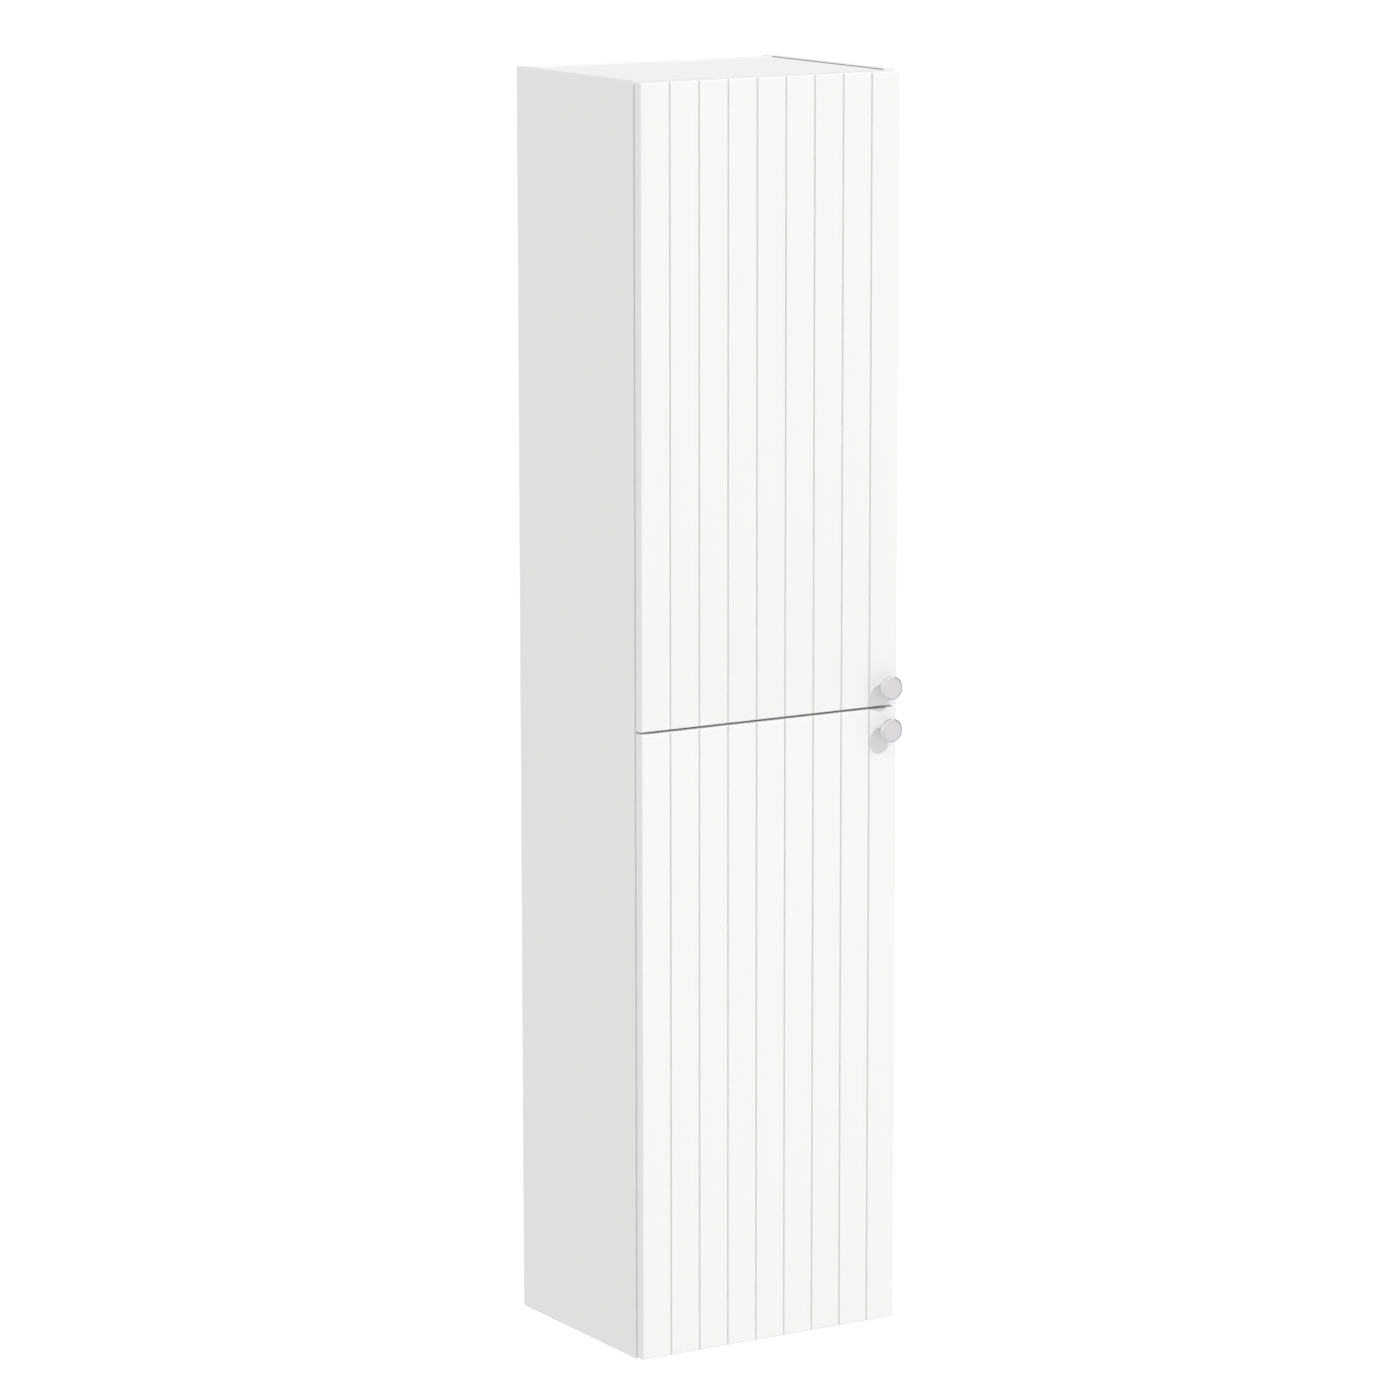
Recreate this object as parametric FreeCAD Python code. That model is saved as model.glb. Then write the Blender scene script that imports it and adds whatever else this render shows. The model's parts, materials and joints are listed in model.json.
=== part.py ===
import FreeCAD, Part
import math
import os

from FreeCAD import Vector

# Tall wall-hung bathroom cabinet with two grooved doors.
# X runs along the wall to the right, Y into the wall, Z up. All sizes are in millimetres.
# The origin is the centre of the four wall screws, on the face of the wall.

# Carcass
CABINET_WIDTH = 400.0
CABINET_HEIGHT = 1700.0
SIDE_DEPTH = 300.0            # side panels, from the wall to their front edge
BOARD = 16.0                  # side, top, bottom and fixed shelf boards
TOP_RECESS = 1.2              # ends of the sides stand this far past the top and bottom boards
BACK_THICKNESS = 8.0
WALL_RECESS = 18.0            # space between the back panel and the wall
BACK_GROOVE_DEPTH = 8.0       # groove in the side panels that holds the back
GROOVE_PLAY = 0.1             # clearance on each face of the back in its groove
BOARD_EDGE_ROUND = 0.8        # rounded front edges of the boards
TOP_END_BEVEL = 1.2           # upper edges of the top board where it meets the sides

# Loose tongues that join the boards
TONGUE_THICKNESS = 4.0
TONGUE_WIDTH = 20.0           # half in each board
TONGUE_LENGTH = 200.0
TONGUE_PLAY = 0.1

# Doors
DOOR_THICKNESS = 16.0
DOOR_GAP = 1.5                # between the doors and the front edges of the carcass
SIDE_REVEAL = 1.5             # carcass seen at each side of the doors
END_REVEAL = 2.0              # carcass seen above and below the doors
SPLIT_GAP = 3.0               # between the upper and the lower door
DOOR_EDGE_BEVEL = 1.0
PLANK_COUNT = 9
OUTER_PLANK_TRIM = 0.85       # the two outer planks are this much narrower than the others
GROOVE_WIDTH = 3.2            # at the face of the door
GROOVE_NECK = 2.4             # below the eased corners
GROOVE_FLOOR = 2.0
GROOVE_EASE = 0.5             # depth of the eased corners
GROOVE_DEPTH = 3.6

# Knobs
KNOB_RADIUS = 16.0
KNOB_REACH = 25.0             # from the door to the face of the knob
KNOB_RIM = 7.8                # straight part of the rim and its bevel
KNOB_BEVEL = 1.8
KNOB_FACE_RECESS = 0.4
KNOB_STEM_RADIUS = 6.0
KNOB_TO_SPLIT = 28.7          # centre of a knob to the middle of the split
KNOB_SCREW_RADIUS = 2.0
KNOB_SCREW_BITE = 12.0        # length of screw inside the knob
KNOB_SCREW_HEAD_RADIUS = 4.0
KNOB_SCREW_HEAD = 2.4

# Screws and small holes
FEW_SIDES = 8                 # sides of shanks, pegs and their holes, which are out of sight
HEAD_SIDES = 12               # sides of screw heads, buffers, hinge pins, link ends and their bores
HOLE_PLAY = 0.15              # around a shank in its hole
HOLE_EXTRA = 1.0              # blind holes are deeper than what sits in them

# Concealed hinges, two on each door. Places in the arm are measured from the inner face of the side
# panel and its front edge, and places in the cup from the left edge of the door and its rear face.
HINGE_INSET = 100.0           # hinge centre to the end of the door
CUP_RADIUS = 17.5
CUP_DEPTH = 11.5
CUP_WALL = 0.8
CUP_PIN_INSET = 0.1           # end of the cup's pin inside the outer face of the cup
CUP_TO_EDGE = 5.0             # wood left between the cup and the edge of the door
CUP_BORE_PLAY = 0.1
CUP_FLOOR_PLAY = 0.3
FLANGE_THICKNESS = 1.0
FLANGE_LIP = 1.2              # flange ring outside the cup
FLANGE_START = 4.0            # flange plate, from the centre of the cup
FLANGE_END = 15.0
FLANGE_HALF_LENGTH = 28.0
FLANGE_CORNER = 3.0
FLANGE_SCREW_SPACING = 45.0
FLANGE_SCREW_OFFSET = 9.5     # screws to the centre of the cup, away from the door edge
CUP_SCREW_RADIUS = 1.75
CUP_SCREW_LENGTH = 12.0
CUP_SCREW_HEAD_RADIUS = 3.4
CUP_SCREW_HEAD = 1.4

INNER_ARM_PIVOT = (21.2, 8.4)
OUTER_ARM_PIVOT = (18.2, -5.9)
INNER_CUP_PIVOT = (11.6, 2.4)
OUTER_CUP_PIVOT = (14.8, 5.0)
INNER_LINK_BEND = (18.1, 6.4)  # where the links bend, as places in the cup of the closed door
OUTER_LINK_BEND = (26.8, 8.0)
PIVOT_RADIUS = 1.3
PIVOT_PLAY = 0.05
EYE_RADIUS = 2.4              # ends of the links around their pivots
LINK_HALF_WIDTH = 1.7
LINK_FROM = 0.5               # the links lie this far below and above the middle of the hinge
LINK_TO = 6.3
FREE_PIN_REACH = 0.8          # pin of the outer link, past its free end

ARM_LENGTH = 60.0
ARM_HALF_HEIGHT = 8.4
ARM_SHEET = 1.3
ARM_FRONT = 2.0               # front end of the arm's channel, behind the panel's front edge
ARM_WEB_FRONT = 10.5          # the channel is open on top in front of this line
ARM_BOTTOM = 9.5
ARM_TOP = 25.5
ARM_NECK_HALF_WIDTH = 2.2
PLATE_SCREW_SETBACK = 37.0    # system line from the front edge of the side panel
PLATE_SCREW_SPACING = 32.0
PLATE_WING = 2.5              # thickness of the two wings of the mounting plate
PLATE_WING_HALF_WIDTH = 7.0
PLATE_WING_CORNER = 4.0
PLATE_FRONT = 14.0
PLATE_REAR = 58.0
PLATE_PLAY = 0.3              # between the plate's ridge and the cheeks of the arm
PLATE_SCREW_RADIUS = 2.5
PLATE_SCREW_LENGTH = 13.0
PLATE_SCREW_HEAD_RADIUS = 4.0
PLATE_SCREW_HEAD = 2.2
CLAMP_SCREW_SETBACK = 48.0
CLAMP_SCREW_RADIUS = 2.4
CLAMP_SCREW_LENGTH = 10.0
CLAMP_SCREW_HEAD_RADIUS = 4.0
CLAMP_SCREW_HEAD = 1.8

# Glass shelves and their pegs
SHELVES_PER_SECTION = 2
GLASS = 6.0
GLASS_SIDE_PLAY = 1.5         # between the glass and the side panels
GLASS_SETBACK = 15.0          # front edge of the glass behind the front edge of the carcass
GLASS_BACK_PLAY = 1.0
GLASS_CORNER = 2.0
PEG_RADIUS = 2.5
PEG_DEPTH = 9.0               # in the side panel
PEG_REACH = 9.0               # out of the side panel
PEG_SETBACK = 37.0            # front peg row from the front edge, rear row from the back panel

# Door buffers
BUFFER_RADIUS = 5.0
BUFFER_THICKNESS = 1.2
BUFFER_INSET = 20.0           # from the end of the door

# Hangers inside the top corners, their hooks and the wall plates
SCREW_LINE_DROP = 60.0        # top of the cabinet above the wall screws
HANGER_WIDTH = 18.0
HANGER_HEIGHT = 62.0
HANGER_DEPTH = 45.0
HANGER_PLAY = 0.3             # to the top panel and the back panel
HANGER_EDGE = 2.0
HOOK_THICKNESS = 4.0
HOOK_HEIGHT = 14.0
HOOK_INSIDE = 30.0            # length of hook inside the hanger
HOOK_TO_WALL = 1.5
HOOK_PLAY = 0.3               # around the hook in its slot and around the lip in the hook's notch
HOOK_TIP_CHAMFER = 2.0
NOTCH_PLAY = 3.0              # opening of the back panel around the hook
ADJUSTER_RADIUS = 4.0
ADJUSTER_HEAD = 1.5
ADJUSTER_SHANK_RADIUS = 2.5
ADJUSTER_DEPTH = 8.0
ADJUSTER_SPACING = 24.0
FIXING_RADIUS = 2.0
FIXING_BITE = 12.0            # in the side panel
FIXING_HEAD_RADIUS = 3.5
FIXING_HEAD = 2.5
FIXING_SPACING = 32.0
FIXING_SETBACK = 12.0         # behind the front of the hanger
FIXING_DROP = 6.0             # middle of the two fixing screws below the middle of the hanger
WALL_PLATE_WIDTH = 50.0
WALL_PLATE_SHEET = 2.0
WALL_PLATE_FOOT = 20.0        # below the screw line
WALL_PLATE_PLAY = 1.0         # beside the side panel
WALL_SCREW_SPACING = 24.0     # the two holes of one wall plate
WALL_SCREW_RADIUS = 2.75
WALL_LIP_OFFSET = 6.0         # clear space between the wall and the lip
WALL_LIP_START = 16.0         # above the screw line
WALL_LIP_TOP = 32.0

# Planes and places worked out from the sizes above
left_out = -CABINET_WIDTH / 2
right_out = CABINET_WIDTH / 2
left_in = left_out + BOARD
right_in = right_out - BOARD
front = -SIDE_DEPTH
top = SCREW_LINE_DROP
bottom = top - CABINET_HEIGHT
middle = (top + bottom) / 2
back_rear = -WALL_RECESS
back_front = back_rear - BACK_THICKNESS
top_board = top - TOP_RECESS - BOARD
bottom_board = bottom + TOP_RECESS
middle_board = middle - BOARD / 2

door_rear = front - DOOR_GAP
door_front = door_rear - DOOR_THICKNESS
door_left = left_out + SIDE_REVEAL
door_right = right_out - SIDE_REVEAL
door_spans = {
    "lower": (bottom + END_REVEAL, middle - SPLIT_GAP / 2),
    "upper": (middle + SPLIT_GAP / 2, top - END_REVEAL),
}
cup_x = door_left + CUP_TO_EDGE + CUP_RADIUS
plank_pitch = (door_right - door_left + 2 * OUTER_PLANK_TRIM) / PLANK_COUNT
knob_x = door_right - (plank_pitch - OUTER_PLANK_TRIM) / 2
glass_back = back_front - GLASS_BACK_PLAY
hanger_top = top_board - HANGER_PLAY
hanger_rear = back_front - HANGER_PLAY
hanger_front = hanger_rear - HANGER_DEPTH
hook_top = WALL_LIP_TOP + HOOK_HEIGHT / 2
hook_bottom = WALL_LIP_TOP - HOOK_HEIGHT / 2
lip_front = -(WALL_LIP_OFFSET + WALL_PLATE_SHEET)
hanger_centre = right_in - HANGER_WIDTH / 2
wall_plate_centre = right_in - WALL_PLATE_PLAY - WALL_PLATE_WIDTH / 2

NEAR = 0.001                  # two planes closer than this are the same
ALONG_X = Vector(1, 0, 0)
ALONG_Y = Vector(0, 1, 0)
ALONG_Z = Vector(0, 0, 1)


def box(x_span, y_span, z_span):
    """A box between two planes along each axis."""
    low = Vector(x_span[0], y_span[0], z_span[0])
    return Part.makeBox(x_span[1] - x_span[0], y_span[1] - y_span[0], z_span[1] - z_span[0], low)


def prism(points, normal, length):
    """A straight-sided solid from a closed outline."""
    outline = Part.makePolygon(points + points[:1])
    return Part.Face(outline).extrude(normal * length)


def rod(start, axis, radius, length):
    return Part.makeCylinder(radius, length, start, axis)


def bar(start, axis, radius, length, sides):
    """A bar of regular section whose corners lie at the radius from its axis."""
    across = ALONG_Z if abs(axis.z) < abs(axis.x) + abs(axis.y) else ALONG_X
    other = axis.cross(across)
    points = []
    for count in range(sides):
        turn = 2 * math.pi * (count + 0.5) / sides
        points.append(start + across * (radius * math.cos(turn)) + other * (radius * math.sin(turn)))
    return prism(points, axis, length)


def strip(path, half_width, z_span):
    """A bar of even width along a bent path in plan, standing between two heights."""
    left = []
    right = []
    for count, point in enumerate(path):
        before = path[max(count - 1, 0)]
        after = path[min(count + 1, len(path) - 1)]
        incoming = math.atan2(point[1] - before[1], point[0] - before[0])
        outgoing = math.atan2(after[1] - point[1], after[0] - point[0])
        if count == 0:
            incoming = outgoing
        if count == len(path) - 1:
            outgoing = incoming
        turn = (incoming + outgoing) / 2
        reach = half_width / math.cos((outgoing - incoming) / 2)
        x, y = -math.sin(turn) * reach, math.cos(turn) * reach
        left.append(Vector(point[0] + x, point[1] + y, z_span[0]))
        right.append(Vector(point[0] - x, point[1] - y, z_span[0]))
    return prism(left + right[::-1], ALONG_Z, z_span[1] - z_span[0])


def upright(place, radius, z_span, sides=None):
    """An upright rod at a place of the plan, round unless a number of sides is given."""
    foot = Vector(place[0], place[1], z_span[0])
    if sides:
        return bar(foot, ALONG_Z, radius, z_span[1] - z_span[0], sides)
    return rod(foot, ALONG_Z, radius, z_span[1] - z_span[0])


def screw(seat, axis, shank, length, head, head_height):
    """A screw whose shank runs from the seat along the axis and whose head stands behind it."""
    body = bar(seat, axis, shank, length, FEW_SIDES)
    top = bar(seat - axis * head_height, axis, head, head_height, HEAD_SIDES)
    return body.fuse(top).removeSplitter()


def hole(seat, axis, shank, length):
    """The space for a shank that goes this deep."""
    return bar(seat, axis, shank + HOLE_PLAY, length, FEW_SIDES)


def middle_of(edge):
    return edge.valueAt((edge.FirstParameter + edge.LastParameter) / 2)


def round_edges(shape, radius, chosen):
    """Fillet the edges whose middle passes the test."""
    return shape.makeFillet(radius, [edge for edge in shape.Edges if chosen(middle_of(edge))])


def bevel_edges(shape, size, chosen):
    """Chamfer the edges whose middle passes the test."""
    return shape.makeChamfer(size, [edge for edge in shape.Edges if chosen(middle_of(edge))])


# Boards of the carcass

def tongue_spots():
    """Plane of the side panel and centre height of each loose tongue."""
    for base in (top_board, bottom_board, middle_board):
        for plane in (left_in, right_in):
            yield plane, base + BOARD / 2


def tongue(plane, height, play):
    """A loose tongue, half in the side panel and half in the end of a board."""
    half = TONGUE_WIDTH / 2 + play
    centre = (front + back_front) / 2
    return box(
        (plane - half, plane + half),
        (centre - TONGUE_LENGTH / 2 - play, centre + TONGUE_LENGTH / 2 + play),
        (height - TONGUE_THICKNESS / 2 - play, height + TONGUE_THICKNESS / 2 + play),
    )


def shelf_heights():
    """Section, place from below and underside of each glass shelf."""
    sections = {
        "lower": (bottom_board + BOARD, middle_board),
        "upper": (middle_board + BOARD, top_board),
    }
    for section, (floor, ceiling) in sections.items():
        step = (ceiling - floor) / (SHELVES_PER_SECTION + 1)
        for place in range(SHELVES_PER_SECTION):
            yield section, place + 1, floor + step * (place + 1) - GLASS / 2


def peg_spots():
    """Centres of the pegs, without their place across the cabinet."""
    drop = PEG_RADIUS * math.cos(math.pi / FEW_SIDES)
    for _section, _place, underside in shelf_heights():
        for row in (front + PEG_SETBACK, back_front - PEG_SETBACK):
            yield row, underside - drop


def hinge_heights():
    """Name of the door, name of the hinge and height of its centre."""
    for name, (low, high) in door_spans.items():
        yield name, "bottom", low + HINGE_INSET
        yield name, "top", high - HINGE_INSET


def hinge_centres(span):
    return span[0] + HINGE_INSET, span[1] - HINGE_INSET


def side_panel(plane, outward):
    """A side panel from its inner face outwards, with its groove, slots and holes."""
    outer = plane + outward * BOARD
    panel = box(sorted((plane, outer)), (front, 0), (bottom, top))
    panel = round_edges(panel, BOARD_EDGE_ROUND,
                        lambda p: abs(p.y - front) < NEAR and abs(p.z - middle) < NEAR)
    cuts = [box(
        sorted((plane, plane + outward * BACK_GROOVE_DEPTH)),
        (back_front - GROOVE_PLAY, back_rear + GROOVE_PLAY),
        (bottom, top),
    )]
    cuts += [tongue(spot, height, TONGUE_PLAY) for spot, height in tongue_spots() if spot == plane]
    axis = ALONG_X * outward
    for row, height in peg_spots():
        cuts.append(hole(Vector(plane, row, height), axis, PEG_RADIUS, PEG_DEPTH + HOLE_EXTRA))
    for row, height in fixing_spots():
        cuts.append(hole(Vector(plane, row, height), axis, FIXING_RADIUS, FIXING_BITE + HOLE_EXTRA))
    if plane == left_in:
        bite = PLATE_SCREW_LENGTH - PLATE_WING
        for _name, _place, centre in hinge_heights():
            for row, height in plate_screw_spots(centre):
                seat = Vector(plane, row, height)
                cuts.append(hole(seat, axis, PLATE_SCREW_RADIUS, bite + HOLE_EXTRA))
    return panel.cut(cuts)


def board(base):
    """A full-width board between the sides, from the front edges to the back panel."""
    body = box((left_in, right_in), (front, back_front), (base, base + BOARD))
    if base == top_board:
        body = bevel_edges(body, TOP_END_BEVEL, lambda p: abs(p.x) > right_in - NEAR
                           and abs(p.z - base - BOARD) < NEAR)
    body = round_edges(body, BOARD_EDGE_ROUND,
                       lambda p: abs(p.y - front) < NEAR and abs(p.x) < NEAR)
    return body.cut([tongue(spot, height, TONGUE_PLAY) for spot, height in tongue_spots()
                     if base < height < base + BOARD])


def back_panel():
    """The back in its grooves, with an opening for each hook."""
    reach = BACK_GROOVE_DEPTH - GROOVE_PLAY
    panel = box((left_in - reach, right_in + reach), (back_front, back_rear), (bottom, top))
    half = HOOK_THICKNESS / 2 + NOTCH_PLAY
    notches = [box(
        (centre - half, centre + half),
        (back_front, back_rear),
        (hook_bottom - NOTCH_PLAY, hook_top + NOTCH_PLAY),
    ) for centre in (-hanger_centre, hanger_centre)]
    return panel.cut(notches)


def joint_tongues():
    return [tongue(plane, height, 0) for plane, height in tongue_spots()]


# Glass shelves

def glass_shelf(underside):
    x_span = (left_in + GLASS_SIDE_PLAY, right_in - GLASS_SIDE_PLAY)
    shelf = box(x_span, (front + GLASS_SETBACK, glass_back), (underside, underside + GLASS))
    return bevel_edges(shelf, GLASS_CORNER, lambda p: abs(p.z - underside - GLASS / 2) < NEAR)


def shelf_pegs():
    pegs = []
    for row, height in peg_spots():
        for plane, inward in ((left_in, 1), (right_in, -1)):
            start = Vector(plane - inward * PEG_DEPTH, row, height)
            pegs.append(bar(start, ALONG_X * inward, PEG_RADIUS, PEG_DEPTH + PEG_REACH, FEW_SIDES))
    return pegs


# Doors and what is fixed to them

def groove_lines():
    centre = (door_left + door_right) / 2
    for count in range(PLANK_COUNT - 1):
        yield centre + (count - (PLANK_COUNT - 2) / 2) * plank_pitch


def knob_height(span):
    return middle + KNOB_TO_SPLIT if span[0] > middle else middle - KNOB_TO_SPLIT


def door(span):
    """A slab with eased front edges, upright grooves, two cup bores and the holes of its screws."""
    low, high = span
    slab = box((door_left, door_right), (door_front, door_rear), (low, high))
    slab = bevel_edges(slab, DOOR_EDGE_BEVEL, lambda p: abs(p.y - door_front) < NEAR)
    section = (
        (-GROOVE_WIDTH / 2, 0), (-GROOVE_NECK / 2, GROOVE_EASE), (-GROOVE_FLOOR / 2, GROOVE_DEPTH),
        (GROOVE_FLOOR / 2, GROOVE_DEPTH), (GROOVE_NECK / 2, GROOVE_EASE), (GROOVE_WIDTH / 2, 0),
    )
    cuts = []
    for line in groove_lines():
        points = [Vector(line + x, door_front + y, low) for x, y in section]
        cuts.append(prism(points, ALONG_Z, high - low))
    for height in hinge_centres(span):
        centre = Vector(cup_x, door_rear, height)
        cuts.append(rod(centre, -ALONG_Y, CUP_RADIUS + CUP_BORE_PLAY, CUP_DEPTH + CUP_FLOOR_PLAY))
        bite = CUP_SCREW_LENGTH - FLANGE_THICKNESS
        for x, z in cup_screw_spots(height):
            cuts.append(hole(Vector(x, door_rear, z), -ALONG_Y, CUP_SCREW_RADIUS, bite + HOLE_EXTRA))
    centre = Vector(knob_x, door_rear, knob_height(span))
    cuts.append(hole(centre, -ALONG_Y, KNOB_SCREW_RADIUS, DOOR_THICKNESS))
    return slab.cut(cuts)


def knob(span):
    """A turned knob: a stem and a disc with a bevelled rim around a flat face."""
    rim_start = KNOB_REACH - KNOB_RIM
    ring = KNOB_RADIUS - KNOB_BEVEL
    face = KNOB_REACH - KNOB_FACE_RECESS
    outline = [
        (0, 0), (KNOB_STEM_RADIUS, 0), (KNOB_STEM_RADIUS, rim_start),
        (KNOB_RADIUS, rim_start), (KNOB_RADIUS, KNOB_REACH - KNOB_BEVEL),
        (ring, KNOB_REACH), (ring, face), (0, face),
    ]
    foot = Vector(knob_x, door_front, knob_height(span))
    points = [foot + Vector(radius, -reach, 0) for radius, reach in outline]
    body = Part.Face(Part.makePolygon(points + points[:1])).revolve(foot, -ALONG_Y, 360)
    return body.cut(hole(foot, -ALONG_Y, KNOB_SCREW_RADIUS, KNOB_SCREW_BITE + HOLE_EXTRA))


def knob_screw(span):
    seat = Vector(knob_x, door_rear, knob_height(span))
    length = DOOR_THICKNESS + KNOB_SCREW_BITE
    return screw(seat, -ALONG_Y, KNOB_SCREW_RADIUS, length, KNOB_SCREW_HEAD_RADIUS, KNOB_SCREW_HEAD)


def door_buffers(span):
    """Soft buffers on the rear of the door, opposite the front edge of the side panel."""
    seats = [Vector(right_out - BOARD / 2, door_rear, height)
             for height in (span[0] + BUFFER_INSET, span[1] - BUFFER_INSET)]
    return [bar(seat, ALONG_Y, BUFFER_RADIUS, BUFFER_THICKNESS, HEAD_SIDES) for seat in seats]


# Hinges

def arm_place(pair):
    """Plan point given from the inner face and the front edge of the side panel."""
    return left_in + pair[0], front + pair[1]


def cup_place(pair):
    """Plan point given from the left edge and the rear face of the door."""
    return door_left + pair[0], door_rear - pair[1]


def lower_band(height):
    return height - LINK_TO, height - LINK_FROM


def upper_band(height):
    return height + LINK_FROM, height + LINK_TO


def cup_screw_spots(height):
    """Place across and height of the two screws of a cup."""
    for side in (-1, 1):
        yield cup_x + FLANGE_SCREW_OFFSET, height + side * FLANGE_SCREW_SPACING / 2


def bore(place, band):
    """The many-sided bore of a link, whose sides clear the pin by the running fit."""
    radius = (PIVOT_RADIUS + PIVOT_PLAY) / math.cos(math.pi / HEAD_SIDES)
    return upright(place, radius, band, HEAD_SIDES)


def hinge_cup(height):
    """A drawn cup with its flange and, in its lower half, the pin that the inner link turns on."""
    rim = Vector(cup_x, door_rear, height)
    seat = rim + ALONG_Y * FLANGE_THICKNESS
    bowl = rod(rim, -ALONG_Y, CUP_RADIUS, CUP_DEPTH)
    ring = rod(rim, ALONG_Y, CUP_RADIUS + FLANGE_LIP, FLANGE_THICKNESS)
    flange = box(
        (cup_x + FLANGE_START, cup_x + FLANGE_END),
        (door_rear, door_rear + FLANGE_THICKNESS),
        (height - FLANGE_HALF_LENGTH, height + FLANGE_HALF_LENGTH),
    )
    flange = bevel_edges(flange, FLANGE_CORNER, lambda p: abs(p.z - height) > FLANGE_HALF_LENGTH - NEAR
                         and abs(p.y - door_rear - FLANGE_THICKNESS / 2) < NEAR)
    shell = bowl.fuse([ring, flange]).removeSplitter()
    hollow = rod(seat, -ALONG_Y, CUP_RADIUS - CUP_WALL, CUP_DEPTH + FLANGE_THICKNESS - CUP_WALL)
    holes = [hole(Vector(x, seat.y, z), -ALONG_Y, CUP_SCREW_RADIUS, FLANGE_THICKNESS)
             for x, z in cup_screw_spots(height)]
    place = cup_place(INNER_CUP_PIVOT)
    beside = abs(cup_x - place[0]) + PIVOT_RADIUS
    chord = math.sqrt((CUP_RADIUS - CUP_PIN_INSET) ** 2 - beside ** 2)
    pin = upright(place, PIVOT_RADIUS, (height - chord, height - LINK_FROM), HEAD_SIDES)
    return shell.cut([hollow] + holes).fuse(pin)


def cup_screws(span):
    return [screw(Vector(x, door_rear + FLANGE_THICKNESS, z), -ALONG_Y, CUP_SCREW_RADIUS,
                  CUP_SCREW_LENGTH, CUP_SCREW_HEAD_RADIUS, CUP_SCREW_HEAD)
            for height in hinge_centres(span) for x, z in cup_screw_spots(height)]


def inner_link(height):
    """The lower link of a hinge, which carries the door between two pivots."""
    ends = arm_place(INNER_ARM_PIVOT), cup_place(INNER_CUP_PIVOT)
    band = lower_band(height)
    link = strip((ends[0], cup_place(INNER_LINK_BEND), ends[1]), LINK_HALF_WIDTH, band)
    eyes = [upright(end, EYE_RADIUS, band, HEAD_SIDES) for end in ends]
    return link.fuse(eyes).removeSplitter().cut([bore(end, band) for end in ends])


def outer_link(height):
    """The upper link of a hinge. Its pin in the cup is its own and is free in the hollow."""
    ends = arm_place(OUTER_ARM_PIVOT), cup_place(OUTER_CUP_PIVOT)
    band = upper_band(height)
    link = strip((ends[0], cup_place(OUTER_LINK_BEND), ends[1]), LINK_HALF_WIDTH, band)
    eyes = [upright(end, EYE_RADIUS, band, HEAD_SIDES) for end in ends]
    pin = upright(ends[1], PIVOT_RADIUS, (band[0], band[1] + FREE_PIN_REACH), FEW_SIDES)
    return link.fuse(eyes + [pin]).removeSplitter().cut(bore(ends[0], band))


def hinge_arm(height):
    """A channel over the mounting plate. Its two cheeks reach forward into the cup."""
    x_span = (left_in + ARM_BOTTOM, left_in + ARM_TOP)
    z_span = (height - ARM_HALF_HEIGHT, height + ARM_HALF_HEIGHT)
    rear = front + ARM_LENGTH
    tip = arm_place(OUTER_ARM_PIVOT)
    web_front = front + ARM_WEB_FRONT
    corner = ARM_NECK_HALF_WIDTH / 2
    side = prism([Vector(x, y, z_span[0]) for x, y in (
        (x_span[0], rear), (x_span[0], front + ARM_FRONT + (x_span[1] - x_span[0]) / 2),
        (tip[0] - ARM_NECK_HALF_WIDTH, front + ARM_FRONT),
        (tip[0] - ARM_NECK_HALF_WIDTH, tip[1] - corner),
        (tip[0] - corner, tip[1] - ARM_NECK_HALF_WIDTH),
        (tip[0] + corner, tip[1] - ARM_NECK_HALF_WIDTH),
        (tip[0] + ARM_NECK_HALF_WIDTH, tip[1] - corner),
        (tip[0] + ARM_NECK_HALF_WIDTH, front + ARM_FRONT),
        (x_span[1], front + ARM_FRONT + (x_span[1] - tip[0])), (x_span[1], rear),
    )], ALONG_Z, 2 * ARM_HALF_HEIGHT)
    inside = ARM_HALF_HEIGHT - ARM_SHEET
    z_inside = (height - inside, height + inside)
    low = tip[1] - 2 * ARM_NECK_HALF_WIDTH
    hollow = box((x_span[0], x_span[1] - ARM_SHEET), (low, rear), z_inside)
    mouth = box(x_span, (low, web_front), z_inside)
    clamp = hole(Vector(x_span[1], front + CLAMP_SCREW_SETBACK, height), -ALONG_X,
                 CLAMP_SCREW_RADIUS, ARM_SHEET)
    lower_stub = upright(arm_place(INNER_ARM_PIVOT), PIVOT_RADIUS, (z_inside[0], height - LINK_FROM),
                         HEAD_SIDES)
    upper_stub = upright(tip, PIVOT_RADIUS, (height + LINK_FROM, z_inside[1]), HEAD_SIDES)
    return side.cut([hollow, mouth, clamp]).fuse([lower_stub, upper_stub]).removeSplitter()


def plate_screw_spots(height):
    """Depth and height of the two screws of a mounting plate."""
    for side in (-1, 1):
        yield front + PLATE_SCREW_SETBACK, height + side * PLATE_SCREW_SPACING / 2


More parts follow.
